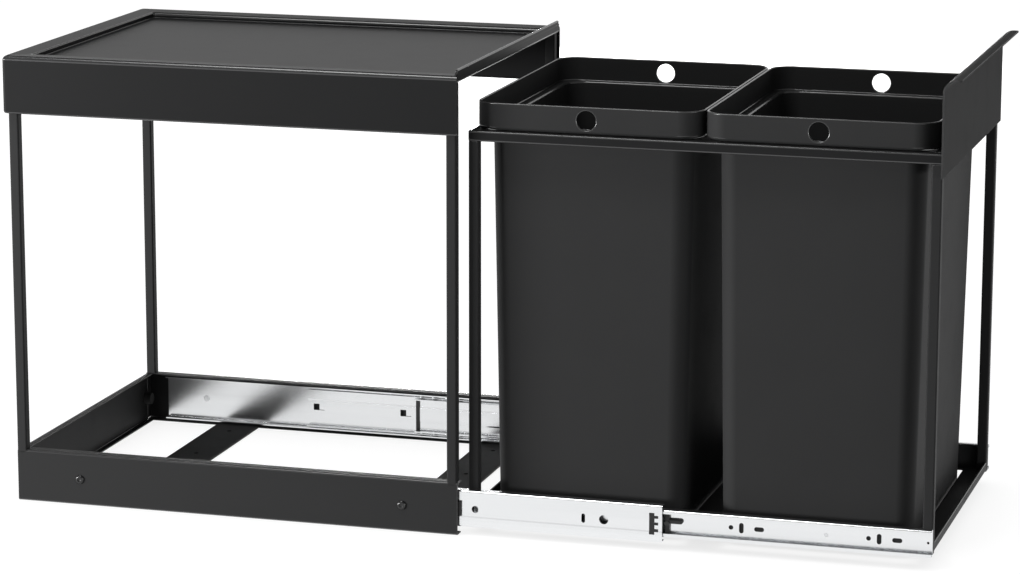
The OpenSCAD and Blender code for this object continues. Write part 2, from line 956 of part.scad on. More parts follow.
module near_ring_bar() {
  side_ring_bar(NEAR);
}

module far_ring_bar() {
  side_ring_bar(FAR);
}

module rear_ring_bar() {
  color(black_steel)
    tube_y(-bar_half, bar_half, carriage_rear_x + tube / 2, ring_top - tube / 2);
}

handle_screw_inset = 40;
handle_screw_y = bar_half - handle_screw_inset;
handle_screw_r = 1.6;

module front_ring_bar() {
  x = carriage_front_x - tube / 2;
  z = ring_top - tube / 2;
  color(black_steel)
    difference() {
      tube_y(-bar_half, bar_half, x, z);
      for (side = [NEAR, FAR])
        rod_x(x - tube, x + tube, side * handle_screw_y, z, handle_screw_r + hole_gap);
    }
}

// Handle plate: sheet across the front of the ring, its top edge curled forwards
module handle_plate() {
  x = carriage_front_x + plate_t / 2;
  low = ring_top - plate_drop;
  high = low + plate_h - plate_t / 2;
  tip = carriage_front_x + lip_reach + plate_t;
  color(black_steel)
    along_y(-plate_w / 2, plate_w / 2)
      polygon(strip(rounded([[x, low], [x, high], [tip, high]], lip_r - plate_t / 2), plate_t));
}

module handle_screws() {
  head_r = 2.8;
  head_h = 1.8;
  z = ring_top - tube / 2;
  back = carriage_front_x - tube;
  color(bright_steel)
    for (side = [NEAR, FAR]) {
      rod_x(back, carriage_front_x, side * handle_screw_y, z, handle_screw_r);
      rod_x(back - head_h, back, side * handle_screw_y, z, head_r);
    }
}

// Bins: a tapered body that hangs in the ring by the ledge under its collar
module bin_shape(inset, floor_z, top_z) {
  half_l = collar_l / 2 - ledge_w - inset;
  half_w = collar_half - ledge_w - inset;
  r = body_r - inset;
  foot = 8;
  hull()
    for (x = [-1, 1], y = [-1, 1]) {
      translate([x * (half_l - r), y * (half_w - r), top_z - cut]) cylinder(r = r, h = cut, $fn = 32);
      translate([x * (half_l - bin_taper - r), y * (half_w - bin_taper - r), floor_z + foot])
        cylinder(r = r, h = cut, $fn = 32);
      translate([x * (half_l - bin_taper - r), y * (half_w - bin_taper - r), floor_z])
        cylinder(r = r - foot, h = cut, $fn = 32);
    }
}

module bin(x) {
  color(bin_plastic)
    translate([x, 0, 0])
      difference() {
        union() {
          translate([0, 0, collar_z])
            linear_extrude(collar_h) rounded_rect(collar_l, 2 * collar_half, collar_r);
          bin_shape(0, bin_floor_z, collar_z + cut);
        }
        translate([0, 0, collar_z + bin_wall])
          linear_extrude(collar_h)
            rounded_rect(collar_l - 2 * bin_wall, 2 * (collar_half - bin_wall), collar_r - bin_wall);
        bin_shape(bin_wall, bin_floor_z + bin_wall, collar_z + bin_wall + cut);
        rod_y(0, finger_z, -collar_half - cut, collar_half + cut, finger_d / 2);
      }
}

module rear_bin() {
  bin(rear_bin_x);
}

module front_bin() {
  bin(front_bin_x);
}

top_tray();
near_base();
far_base();
rear_base();
rear_near_post();
rear_far_post();
front_near_post();
front_far_post();
mid_strap();
front_strap();
rear_bumpers();
slide_screws();
near_outer_rail();
far_outer_rail();
near_front_clip();
far_front_clip();
near_outer_cage();
far_outer_cage();
near_outer_balls();
far_outer_balls();
near_mid_rail();
far_mid_rail();
near_end_stop();
far_end_stop();
near_rear_clip();
far_rear_clip();
near_inner_cage();
far_inner_cage();
near_inner_balls();
far_inner_balls();
near_inner_rail();
far_inner_rail();
inner_rail_screws();
lever_rivets();
near_release_lever();
far_release_lever();
rear_near_stand();
rear_far_stand();
front_near_stand();
front_far_stand();
near_sill();
far_sill();
rear_bottom_bar();
mid_bottom_bar();
front_bottom_bar();
near_ring_bar();
far_ring_bar();
rear_ring_bar();
front_ring_bar();
handle_plate();
handle_screws();
rear_bin();
front_bin();
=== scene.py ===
import json

import bmesh
import bpy
import numpy as np
from mathutils import Matrix, Vector

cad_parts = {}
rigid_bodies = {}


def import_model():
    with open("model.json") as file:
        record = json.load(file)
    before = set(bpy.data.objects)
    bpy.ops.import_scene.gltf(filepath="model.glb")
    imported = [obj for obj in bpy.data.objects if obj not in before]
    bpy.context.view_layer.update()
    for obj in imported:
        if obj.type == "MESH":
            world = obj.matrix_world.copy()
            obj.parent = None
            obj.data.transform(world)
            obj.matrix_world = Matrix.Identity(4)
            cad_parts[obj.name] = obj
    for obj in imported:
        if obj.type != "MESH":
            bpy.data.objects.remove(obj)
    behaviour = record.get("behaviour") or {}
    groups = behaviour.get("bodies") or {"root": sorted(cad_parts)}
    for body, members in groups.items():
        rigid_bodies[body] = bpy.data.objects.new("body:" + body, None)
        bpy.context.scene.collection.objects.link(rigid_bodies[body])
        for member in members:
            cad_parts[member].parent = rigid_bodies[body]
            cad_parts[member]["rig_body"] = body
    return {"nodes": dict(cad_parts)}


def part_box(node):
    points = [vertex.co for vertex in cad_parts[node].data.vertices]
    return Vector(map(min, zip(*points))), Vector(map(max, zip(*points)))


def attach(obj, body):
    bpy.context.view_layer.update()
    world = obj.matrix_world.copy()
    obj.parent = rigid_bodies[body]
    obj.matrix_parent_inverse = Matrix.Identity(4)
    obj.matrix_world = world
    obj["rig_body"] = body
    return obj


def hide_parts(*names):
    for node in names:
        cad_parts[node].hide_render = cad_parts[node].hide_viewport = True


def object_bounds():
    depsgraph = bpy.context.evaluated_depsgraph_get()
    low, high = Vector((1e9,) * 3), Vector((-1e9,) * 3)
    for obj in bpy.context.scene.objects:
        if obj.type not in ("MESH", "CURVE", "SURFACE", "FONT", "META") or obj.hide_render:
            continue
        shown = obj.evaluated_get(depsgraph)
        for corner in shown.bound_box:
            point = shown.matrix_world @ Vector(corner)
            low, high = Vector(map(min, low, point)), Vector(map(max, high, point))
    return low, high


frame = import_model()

nodes = frame["nodes"]
cad_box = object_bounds()

# Base channels
# The near and far sides of the base and its rear are channels folded from steel sheet.
# They are welded at the corners and powder coated black, with soft bends and cut edges.

SHEET = 0.0015
BEND_STEPS = 8
BEND_STEP = 0.0012
BEND_TURN = np.radians(3.0)
UPRIGHT = 0.1
LONG_SIDE = 0.6
EDGE_BEVEL = 0.0005


def bent(path, radius):
    """A path with each inner corner replaced by an arc: the arc's ends lie a tangent length
    from the corner, and its points turn about a centre on the corner's bisector."""
    path = np.asarray(path, float)
    before, corner, after = path[:-2], path[1:-1], path[2:]
    to_before = (before - corner) / np.linalg.norm(before - corner, axis=1, keepdims=True)
    to_after = (after - corner) / np.linalg.norm(after - corner, axis=1, keepdims=True)
    half = np.arccos(np.clip((to_before * to_after).sum(1), -1, 1)) / 2
    radius = np.broadcast_to(np.asarray(radius, float), half.shape)
    bisector = to_before + to_after
    bisector /= np.linalg.norm(bisector, axis=1, keepdims=True)
    centre = corner + bisector * (radius / np.sin(half))[:, None]
    start = corner + to_before * (radius / np.tan(half))[:, None] - centre
    turn = np.sign(to_before[:, 0] * to_after[:, 1] - to_before[:, 1] * to_after[:, 0])
    sweep = -turn * (np.pi - 2 * half)
    angle = sweep[:, None] * np.linspace(0, 1, BEND_STEPS + 1)[None, :]
    x = start[:, :1] * np.cos(angle) - start[:, 1:] * np.sin(angle)
    y = start[:, :1] * np.sin(angle) + start[:, 1:] * np.cos(angle)
    arcs = centre[:, None, :] + np.stack([x, y], -1)
    return np.concatenate([path[:1], arcs.reshape(-1, 2), path[-1:]])


def both_sides(path, thickness):
    """The two faces of a sheet whose middle follows the path: each point is set off by half
    the thickness along the mean normal of its two neighbouring runs, lengthened at a turn."""
    run = np.diff(path, axis=0)
    run /= np.linalg.norm(run, axis=1, keepdims=True)
    normal = np.stack([-run[:, 1], run[:, 0]], -1)
    first = np.concatenate([normal[:1], normal])
    second = np.concatenate([normal, normal[-1:]])
    mean = first + second
    mean /= np.linalg.norm(mean, axis=1, keepdims=True)
    offset = mean * (thickness / 2 / (mean * second).sum(1))[:, None]
    return path + offset, path - offset


def ring_faces(rings, size, closed=True):
    """Four-sided faces between each ring of points and the next, as an index array."""
    start = np.arange(rings - 1)[:, None] * size
    step = np.arange(size if closed else size - 1)[None, :]
    after = (step + 1) % size
    return np.stack(
        [start + step, start + after, start + size + after, start + size + step], -1
    ).reshape(-1, 4)


def bend_faces(mesh):
    """Marks the faces that are steps of a tight level bend: four-sided and not upright, with a
    shortest side under the widest bend step, and a neighbour across a long side that turns by
    some degrees."""
    place = np.empty(len(mesh.vertices) * 3)
    mesh.vertices.foreach_get("co", place)
    ends = np.empty(len(mesh.edges) * 2, np.int32)
    mesh.edges.foreach_get("vertices", ends)
    ends = place.reshape(-1, 3)[ends.reshape(-1, 2)]
    length = np.linalg.norm(ends[:, 0] - ends[:, 1], axis=1)
    corner_edge = np.empty(len(mesh.loops), np.int32)
    mesh.loops.foreach_get("edge_index", corner_edge)
    start = np.empty(len(mesh.polygons), np.int32)
    mesh.polygons.foreach_get("loop_start", start)
    sides = np.empty(len(mesh.polygons), np.int32)
    mesh.polygons.foreach_get("loop_total", sides)
    normal = np.empty(len(mesh.polygons) * 3)
    mesh.polygons.foreach_get("normal", normal)
    owner = np.repeat(np.arange(len(sides)), sides)
    order = np.argsort(corner_edge, kind="stable")
    pair = order.reshape(-1, 2)
    facing = normal.reshape(-1, 3)[owner]
    turn = np.empty(len(owner))
    turn[pair] = np.arccos(np.clip((facing[pair[:, 0]] * facing[pair[:, 1]]).sum(1), -1, 1))[:, None]
    side = length[corner_edge]
    longest = np.maximum.reduceat(side, start)[owner]
    across = np.where(side > LONG_SIDE * longest, turn, 0.0)
    turned = np.maximum.reduceat(across, start) > BEND_TURN
    level = np.abs(normal.reshape(-1, 3)[:, 2]) > UPRIGHT
    return (np.minimum.reduceat(side, start) < BEND_STEP) & (sides == 4) & turned & level


def even_shading(piece):
    """Keeps flat faces flat in the shading, so that the turn is all in the bends beside them."""
    normals = piece.modifiers.new("normals", "WEIGHTED_NORMAL")
    normals.weight = 100
    normals.keep_sharp = True


def new_piece(name, points, faces, node, materials, bevel=0.0, smooth=40.0):
    """A closed mesh object that stands for a CAD node and rides on that node's body. The second
    material, where there is one, goes on the steps of its tight bends and on its cut edges."""
    mesh = bpy.data.meshes.new(name)
    mesh.from_pydata(np.asarray(points, float).reshape(-1, 3).tolist(), [], faces)
    work = bmesh.new()
    work.from_mesh(mesh)
    bmesh.ops.remove_doubles(work, verts=work.verts, dist=1e-7)
    bmesh.ops.recalc_face_normals(work, faces=work.faces)
    work.to_mesh(mesh)
    work.free()
    mesh.shade_smooth()
    mesh.set_sharp_from_angle(angle=np.radians(smooth))
    piece = bpy.data.objects.new(name, mesh)
    bpy.context.scene.collection.objects.link(piece)
    if bevel:
        edge = piece.modifiers.new("edge", "BEVEL")
        edge.width = bevel
        edge.segments = 2
        edge.limit_method = "ANGLE"
        edge.angle_limit = np.radians(smooth)
        edge.material = len(materials) - 1
    even_shading(piece)
    for material in materials:
        mesh.materials.append(material)
    if len(materials) > 1:
        mesh.polygons.foreach_set("material_index", bend_faces(mesh).astype(np.int32))
    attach(piece, nodes[node]["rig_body"])
    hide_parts(node)
    return piece


def folded_bar(path, low, high, axis, thickness=SHEET):
    """A sheet section carried straight along X or Y: the outline of both faces is repeated at
    the two ends, walled between them, and each end is closed with a strip of quads."""
    left, right = both_sides(path, thickness)
    outline = np.concatenate([left, right[::-1]])
    count, half = len(outline), len(left)
    across, up = np.tile(outline[:, 0], 2), np.tile(outline[:, 1], 2)
    along = np.repeat([low, high], count)
    points = np.stack([along, across, up] if axis == "x" else [across, along, up], -1)
    walls = ring_faces(2, count)
    step = np.arange(half - 1)
    end = np.stack([step, step + 1, count - 2 - step, count - 1 - step], -1)
    return points, np.concatenate([walls, end, end + count]).tolist()


def effect(name, inputs, outputs):
    """An empty shader node group with named sockets, and its input and output nodes."""
    group = bpy.data.node_groups.new(name, "ShaderNodeTree")
    for label, kind, value in inputs:
        socket = group.interface.new_socket(name=label, in_out="INPUT", socket_type=kind)
        if value is not None:
            socket.default_value = value
    for label, kind in outputs:
        group.interface.new_socket(name=label, in_out="OUTPUT", socket_type=kind)
    return group, group.nodes.new("NodeGroupInput"), group.nodes.new("NodeGroupOutput")


def shader_node(tree, kind, settings=None, **values):
    """A node in a tree, with its settings and the values of its named input sockets."""
    made = tree.nodes.new(kind)
    for key, value in (settings or {}).items():
        setattr(made, key, value)
    for key, value in values.items():
        made.inputs[key.replace("_", " ")].default_value = value
    return made


# Skin: small-scale texture that coats and mouldings share. Height is fine bumps over slower
# ones, Tone is a slow drift of shade, and Marks are faint patches left by handling.
skin, skin_in, skin_out = effect(
    "skin",
    [("Vector", "NodeSocketVector", None), ("Grain", "NodeSocketFloat", 900.0)],
    [("Height", "NodeSocketFloat"), ("Tone", "NodeSocketFloat"), ("Marks", "NodeSocketFloat")],
)
fine = shader_node(skin, "ShaderNodeTexNoise", Detail=2.0, Roughness=0.55)
slow = shader_node(skin, "ShaderNodeTexNoise", Scale=14.0, Detail=3.0, Roughness=0.5)
mark = shader_node(skin, "ShaderNodeTexNoise", Scale=32.0, Detail=6.0, Roughness=0.62)
mark_range = shader_node(skin, "ShaderNodeMapRange", From_Min=0.5, From_Max=0.72)
for texture in (fine, slow, mark):
    skin.links.new(skin_in.outputs["Vector"], texture.inputs["Vector"])
skin.links.new(skin_in.outputs["Grain"], fine.inputs["Scale"])
skin.links.new(fine.outputs["Fac"], skin_out.inputs["Height"])
skin.links.new(slow.outputs["Fac"], skin_out.inputs["Tone"])
skin.links.new(mark.outputs["Fac"], mark_range.inputs["Value"])
skin.links.new(mark_range.outputs["Result"], skin_out.inputs["Marks"])


def skinned(name, dark, light, rough, rough_marks, grain, bump, specular):
    """A dielectric whose shade drifts between two colours, whose gloss varies where it has
    been handled, and whose surface has fine bumps of the given grain and height."""
    material = bpy.data.materials.new(name)
    material.use_nodes = True
    tree = material.node_tree
    shader = tree.nodes["Principled BSDF"]
    shader.inputs["Specular IOR Level"].default_value = specular
    place = shader_node(tree, "ShaderNodeTexCoord")
    texture = shader_node(tree, "ShaderNodeGroup", {"node_tree": skin}, Grain=grain)
    colour = shader_node(tree, "ShaderNodeMix", {"data_type": "RGBA"})
    colour.inputs[6].default_value = (*dark, 1.0)
    colour.inputs[7].default_value = (*light, 1.0)
    gloss = shader_node(tree, "ShaderNodeMapRange", To_Min=rough, To_Max=rough_marks)
    relief = shader_node(tree, "ShaderNodeBump", Strength=1.0, Distance=bump)
    tree.links.new(place.outputs["Object"], texture.inputs["Vector"])
    tree.links.new(texture.outputs["Tone"], colour.inputs["Factor"])
    tree.links.new(colour.outputs[2], shader.inputs["Base Color"])
    tree.links.new(texture.outputs["Marks"], gloss.inputs["Value"])
    tree.links.new(gloss.outputs["Result"], shader.inputs["Roughness"])
    tree.links.new(texture.outputs["Height"], relief.inputs["Height"])
    tree.links.new(relief.outputs["Normal"], shader.inputs["Normal"])
    return material


# The coat is matt on flat sheet and smoother over the bends and cut edges, where a slightly lighter
# copy of its colour paints a highlight.
powder_coat = skinned(
    "black_powder_coat", dark=(0.026, 0.0262, 0.0266), light=(0.029, 0.0292, 0.0296),
    rough=0.52, rough_marks=0.57, grain=1100.0, bump=0.00003, specular=0.08,
)
# The bends' copy of the coat is a little lighter in colour: a painted highlight along the bends.
painted_highlight_bend_coat = skinned(
    "black_powder_coat_bend_highlight", dark=(0.028, 0.0282, 0.0288), light=(0.031, 0.0312, 0.0318),
    rough=0.2, rough_marks=0.24, grain=1100.0, bump=0.00001, specular=0.7,
)
COAT = (powder_coat, painted_highlight_bend_coat)

for side, node in ((-1, "near_base"), (1, "far_base")):
    low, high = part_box(node)
    outer = max(abs(low.y), abs(high.y)) - SHEET / 2
    edge = min(abs(low.y), abs(high.y))
    section = [
        (side * edge, high.z - SHEET / 2), (side * outer, high.z - SHEET / 2),
        (side * outer, low.z + SHEET / 2), (side * edge, low.z + SHEET / 2),
    ]
    points, faces = folded_bar(bent(section, SHEET), low.x, high.x, "x")
    new_piece(f"{node}_channel", points, faces, node, COAT, EDGE_BEVEL)

# Rear base
# The rear channel closes the base between the side channels. Its web is let in under their
# flanges and welded to them, so its ends are a little lower than its middle.

low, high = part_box("rear_base")
flange_edge = min(abs(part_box("near_base")[1].y), abs(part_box("far_base")[0].y))
section = [
    (high.x, high.z - SHEET / 2), (low.x + SHEET / 2, high.z - SHEET / 2),
    (low.x + SHEET / 2, low.z + SHEET / 2), (high.x, low.z + SHEET / 2),
]
points, faces = folded_bar(bent(section, SHEET), -flange_edge, flange_edge, "y")
BEND_ROOM = 1.5 * SHEET
tongue = np.array([
    (low.x, low.z + BEND_ROOM), (low.x + SHEET, low.z + BEND_ROOM),
    (low.x + SHEET, high.z - BEND_ROOM), (low.x, high.z - BEND_ROOM),
])
for side in (-1, 1):
    start = len(points)
    across = np.repeat([side * flange_edge, side * high.y], 4)
    ends = np.stack([np.tile(tongue[:, 0], 2), across, np.tile(tongue[:, 1], 2)], -1)
    points = np.concatenate([points, ends])
    boxed = ring_faces(2, 4).tolist() + [[0, 1, 2, 3], [4, 5, 6, 7]]
    faces = faces + (np.array(boxed) + start).tolist()
new_piece("rear_base_channel", points, faces, "rear_base", COAT, EDGE_BEVEL)

# Floor straps
# Two flat steel bars are welded between the side channels, flush with the floor, and drilled
# for the screws that hold the frame down. They have the same black coat.


def dress(names, material):
    """Gives the CAD meshes of the named nodes one material."""
    for name in names:
        nodes[name].data.materials.clear()
        nodes[name].data.materials.append(material)


dress(("mid_strap", "front_strap"), powder_coat)

# Rear bumpers
# Two rubber buffers on the rear channel catch the carriage's stands when it is pushed in.

rubber = skinned(
    "black_rubber", dark=(0.006, 0.006, 0.006), light=(0.012, 0.012, 0.012),
    rough=0.75, rough_marks=0.85, grain=2200.0, bump=0.00005, specular=0.4,
)
dress(("rear_bumpers",), rubber)

# Frame posts
# Four lengths of square tube stand on the side channels and carry the tray at its corners.
# The tube is thin-walled with rounded corners, cut square and welded top and bottom.

TUBE_RADIUS = 0.0016
CORNER_STEPS = 6
WELD = 0.0003


def rounded_square(size, radius):
    """A closed square outline with quarter-circle corners, anticlockwise about its centre."""
    quarter = np.arange(4)[:, None] * np.pi / 2
    angle = quarter + np.linspace(0, np.pi / 2, CORNER_STEPS + 1)[None, :]
    corner = quarter + np.pi / 4
    reach = np.sqrt(2) * (size / 2 - radius)
    x = reach * np.cos(corner) + radius * np.cos(angle)
    y = reach * np.sin(corner) + radius * np.sin(angle)
    return np.stack([x, y], -1).reshape(-1, 2)


def closed_rings(points):
    """The faces of a stack of point rings: walls between the rings and a cap on each end."""
    count, around = points.shape[:2]
    caps = [list(range(around)), list(range((count - 1) * around, count * around))]
    return ring_faces(count, around).tolist() + caps


def tube_piece(node, axis, weld=0.0, bevel=EDGE_BEVEL, coat=COAT):
    """A square tube along one axis that fills a CAD node's box: the outline is repeated at
    both ends and each end is closed with a welded cap. The weld carries its low end further."""
    low, high = (np.array(corner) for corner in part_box(node))
    across = [k for k in range(3) if k != axis]
    outline = rounded_square(high[across[0]] - low[across[0]], TUBE_RADIUS)
    count = len(outline)
    points = np.empty((2, count, 3))
    points[:, :, across] = outline + (low + high)[across] / 2
    points[0, :, axis] = low[axis] - weld
    points[1, :, axis] = high[axis]
    new_piece(f"{node}_tube", points, closed_rings(points), node, coat, bevel, smooth=30.0)


for node in ("rear_near_post", "rear_far_post", "front_near_post", "front_far_post"):
    tube_piece(node, axis=2, weld=BEND_ROOM + WELD, bevel=0.0)

# Top tray
# One sheet folded into a shallow cover: skirts on three sides, a flat rim, and a shelf sunk
# a few millimetres below it. Its front edge is turned up as a flange along the whole width.
# The coat is smoother here than on the frame, and a darker copy of its colour paints shade on the
# tray and on the ring bars.

painted_shade_coat = skinned(
    "black_tray_coat_painted_shade", dark=(0.016, 0.0162, 0.0166), light=(0.018, 0.0182, 0.0186),
    rough=0.37, rough_marks=0.38, grain=1100.0, bump=0.00002, specular=0.05,
)

RIM = 0.022
RECESS = 0.0065
CORNER = 0.0032
SKIRT_BEND = 0.0045
SIDE_BEND = 0.0032
REAR_BEND = 0.0008
SHELF_BEND = 0.0014
FLANGE_RISE = 0.0055
FLANGE_CORNER = 0.005
FLANGE_HEM = 0.0014
FLANGE_BEND = 0.003
RIM_FALL = 0.001
HEM = 0.0034
HEM_BEND = 0.0015

low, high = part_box("top_tray")
rim_z = high.z - FLANGE_RISE
shelf_z = rim_z - RECESS
front_x = high.x - SHEET
fold_x = front_x - FLANGE_BEND
shelf_inset = RIM + 3 * SHEET
section = [
    (HEM, low.z + SHEET / 2), (SHEET / 2, low.z + SHEET / 2),
    (SHEET / 2, rim_z - SHEET / 2), (RIM + SHEET / 2, rim_z - SHEET / 2 - RIM_FALL),
    (RIM + SHEET / 2, shelf_z - SHEET / 2), (shelf_inset + SHEET, shelf_z - SHEET / 2),
]


def tray_rings(rim_bend):
    """The tray's section from hem to shelf and back along its other face, as inset and height."""
    middle_line = bent(section, [HEM_BEND, SKIRT_BEND - SHEET / 2, rim_bend, SHELF_BEND])
    upper_skin, lower_skin = both_sides(middle_line, SHEET)
    return np.concatenate([upper_skin, lower_skin[::-1]])


def three_sides(inset, height):
    """The tray's surface: each ring of insets runs along the near side from the front, round two
    quarter-circle corners and across the rear, and back along the far side. The skirts run past
    the flange's ends, the rim stops behind it, and the shelf stops where its fold begins."""
    angle = np.linspace(0, np.pi / 2, BEND_STEPS + 1)
    rearward = np.concatenate([[0.0], np.sin(angle), np.cos(angle), [0.0]])
    sideways = np.concatenate([[-1.0], -np.cos(angle), np.sin(angle), [1.0]])
    near_y = low.y + inset + CORNER
    far_y = high.y - inset - CORNER
    x = low.x + inset + CORNER * (1 - rearward)
    y = np.where(sideways < 0, near_y, far_y) + CORNER * sideways
    edge = inset[:, [0, -1]]
    x[:, [0, -1]] = np.select([edge < 1.2 * SHEET, edge < RIM], [high.x, front_x], fold_x)
    return np.stack([x, y, height], -1)


# The rim's inner bend is rounder along the sides than at the rear, and changes over the corners.
rise = np.linspace(0, 1, BEND_STEPS + 1)
rear_share = np.concatenate([[0.0], rise, rise[::-1], [0.0]])
rings = tray_rings(SIDE_BEND)[:, None, :] * (1 - rear_share)[:, None]
rings = rings + tray_rings(REAR_BEND)[:, None, :] * rear_share[:, None]
points = three_sides(rings[:, :, 0], rings[:, :, 1])
count, stations = points.shape[:2]
half = count // 2
walls = ring_faces(count, stations, closed=False)
walls = np.delete(walls, np.s_[(half - 1) * (stations - 1):half * (stations - 1)], axis=0)
foot = ring_faces(2, stations, closed=False)
foot = np.where(foot >= stations, foot - stations + (count - 1) * stations, foot)
step = np.arange(half - 1)
cap = np.stack([step, step + 1, count - 2 - step, count - 1 - step], -1) * stations
upper = np.arange(stations) + (half - 1) * stations
lower = np.arange(stations) + half * stations
shelf_front = [upper[0], upper[-1], lower[-1], lower[0]]
faces = np.concatenate([walls, foot, cap, cap + stations - 1]).tolist()
faces += [upper.tolist(), lower.tolist(), [int(k) for k in shelf_front]]

# The front of the shelf is folded up into the flange, whose corners are rounded and whose edge
# is rolled back into a thin hem.
flange_half = high.y - SHEET
corner_z = high.z - FLANGE_CORNER
inner = FLANGE_CORNER - FLANGE_HEM
arc = np.linspace(0, np.pi / 2, BEND_STEPS + 1)
flange_x = high.x - SHEET / 2
fold = bent([
    (fold_x, shelf_z - SHEET / 2), (flange_x, shelf_z - SHEET / 2), (flange_x, high.z),
], FLANGE_BEND)
tip = np.stack([np.full(arc.shape, flange_x), corner_z + inner * np.sin(arc)], -1)
flange, flange_faces = folded_bar(
    np.concatenate([fold[:-1], tip]), FLANGE_HEM - flange_half, flange_half - FLANGE_HEM, "y"
)
past = np.clip(flange[:, 2] - corner_z, 0, inner)
flange[:, 1] -= np.sign(flange[:, 1]) * (inner - np.sqrt(inner ** 2 - past ** 2))
turned = np.concatenate([[0.0], arc, np.pi - arc[::-1], [np.pi]])
hem_y = np.sign(np.cos(turned)) * (flange_half - FLANGE_CORNER) + inner * np.cos(turned)
hem_z = corner_z + inner * np.sin(turned)
hem_z[[0, -1]] = shelf_z + FLANGE_BEND
around = np.linspace(0, 2 * np.pi, 2 * BEND_STEPS, endpoint=False)
outward = FLANGE_HEM * np.cos(around)
hem = np.stack(np.broadcast_arrays(
    high.x - FLANGE_HEM + FLANGE_HEM * np.sin(around),
    hem_y[:, None] + outward * np.cos(turned)[:, None],
    hem_z[:, None] + outward * np.sin(turned)[:, None],
), -1)
points = points.reshape(-1, 3)
for more, more_faces in ((flange, flange_faces), (hem.reshape(-1, 3), closed_rings(hem))):
    faces += [[k + len(points) for k in face] for face in more_faces]
    points = np.concatenate([points, more])
new_piece("top_tray_sheet", points, faces, "top_tray", (painted_shade_coat, painted_highlight_bend_coat), EDGE_BEVEL)

# Slide rails
# Each slide has an outer, a middle and an inner rail, roll-formed from steel strip and zinc
# plated, like the outer ball cage. The rolls leave faint lines along a cool bright surface.

rolled, rolled_in, rolled_out = effect(
    "rolled_strip",
    [("Vector", "NodeSocketVector", None), ("Lines", "NodeSocketFloat", 420.0)],
    [("Height", "NodeSocketFloat"), ("Tone", "NodeSocketFloat"), ("Haze", "NodeSocketFloat")],
)
stretch = shader_node(rolled, "ShaderNodeMapping", Scale=(0.02, 1.0, 1.0))
lines = shader_node(rolled, "ShaderNodeTexNoise", Detail=4.0, Roughness=0.6)
haze = shader_node(rolled, "ShaderNodeTexNoise", Scale=24.0, Detail=5.0, Roughness=0.6)
drift = shader_node(rolled, "ShaderNodeTexNoise", Scale=90.0, Detail=2.0, Roughness=0.5)
rolled.links.new(rolled_in.outputs["Vector"], stretch.inputs["Vector"])
rolled.links.new(stretch.outputs["Vector"], lines.inputs["Vector"])
rolled.links.new(stretch.outputs["Vector"], drift.inputs["Vector"])
rolled.links.new(rolled_in.outputs["Vector"], haze.inputs["Vector"])
rolled.links.new(rolled_in.outputs["Lines"], lines.inputs["Scale"])
rolled.links.new(lines.outputs["Fac"], rolled_out.inputs["Height"])
rolled.links.new(drift.outputs["Fac"], rolled_out.inputs["Tone"])
rolled.links.new(haze.outputs["Fac"], rolled_out.inputs["Haze"])


def rolled_metal(name, dark, light, rough, rough_haze, lines_scale, bump):
    """Bright metal with lines along X: the shade drifts across the strip, a faint haze varies
    the gloss, and the lines stand up by the given height."""
    material = bpy.data.materials.new(name)
    material.use_nodes = True
    tree = material.node_tree
    shader = tree.nodes["Principled BSDF"]
    shader.inputs["Metallic"].default_value = 1.0
    place = shader_node(tree, "ShaderNodeTexCoord")
    texture = shader_node(tree, "ShaderNodeGroup", {"node_tree": rolled}, Lines=lines_scale)
    colour = shader_node(tree, "ShaderNodeMix", {"data_type": "RGBA"})
    colour.inputs[6].default_value = (*dark, 1.0)
    colour.inputs[7].default_value = (*light, 1.0)
    gloss = shader_node(tree, "ShaderNodeMapRange", To_Min=rough, To_Max=rough_haze)
    relief = shader_node(tree, "ShaderNodeBump", Strength=1.0, Distance=bump)
    tree.links.new(place.outputs["Object"], texture.inputs["Vector"])
    tree.links.new(texture.outputs["Tone"], colour.inputs["Factor"])
    tree.links.new(colour.outputs[2], shader.inputs["Base Color"])
    tree.links.new(texture.outputs["Haze"], gloss.inputs["Value"])
    tree.links.new(gloss.outputs["Result"], shader.inputs["Roughness"])
    tree.links.new(texture.outputs["Height"], relief.inputs["Height"])
    tree.links.new(relief.outputs["Normal"], shader.inputs["Normal"])
    return material


zinc = rolled_metal(
    "zinc_plate", dark=(0.70, 0.71, 0.72), light=(0.79, 0.80, 0.81),
    rough=0.16, rough_haze=0.24, lines_scale=420.0, bump=0.00001,
)
SIDES = ("near", "far")
RAILS = ("outer_rail", "mid_rail", "inner_rail", "outer_cage")
dress([f"{side}_{rail}" for side in SIDES for rail in RAILS], zinc)

# Inner ball cages and balls
# Thin bright strip holds the bearing balls apart in the races of each slide.

bright = rolled_metal(
    "bright_strip", dark=(0.56, 0.57, 0.58), light=(0.70, 0.71, 0.72),
    rough=0.2, rough_haze=0.34, lines_scale=600.0, bump=0.00001,
)
BEARINGS = ("outer_balls", "inner_cage", "inner_balls")
dress([f"{side}_{bearing}" for side in SIDES for bearing in BEARINGS], bright)

# Slide screws
# Black button-head screws with a hexagon socket go through the base into the outer rails,
# where their ends are riveted over flat and left bright. They are turned steel, blackened in oil.

# Each row is a ring's radius and height in millimetres, and 1 where the ring is a hexagon.
SCREW_PROFILE = np.array([
    (3.1, -2.9, 0), (3.4, -2.75, 0), (3.4, -2.7, 0), (1.9, -2.7, 0), (1.9, 0, 0), (4.4, 0, 0),
    (4.4, 0.5, 0), (4.15, 1.2, 0), (3.5, 1.8, 0), (2.9, 2.1, 0), (2.45, 2.2, 1), (2.3, 2.1, 1),
    (2.3, 0.9, 1), (0.6, 0.6, 0),
])
SCREW_STEPS = 48
RIVETED_RINGS = 3

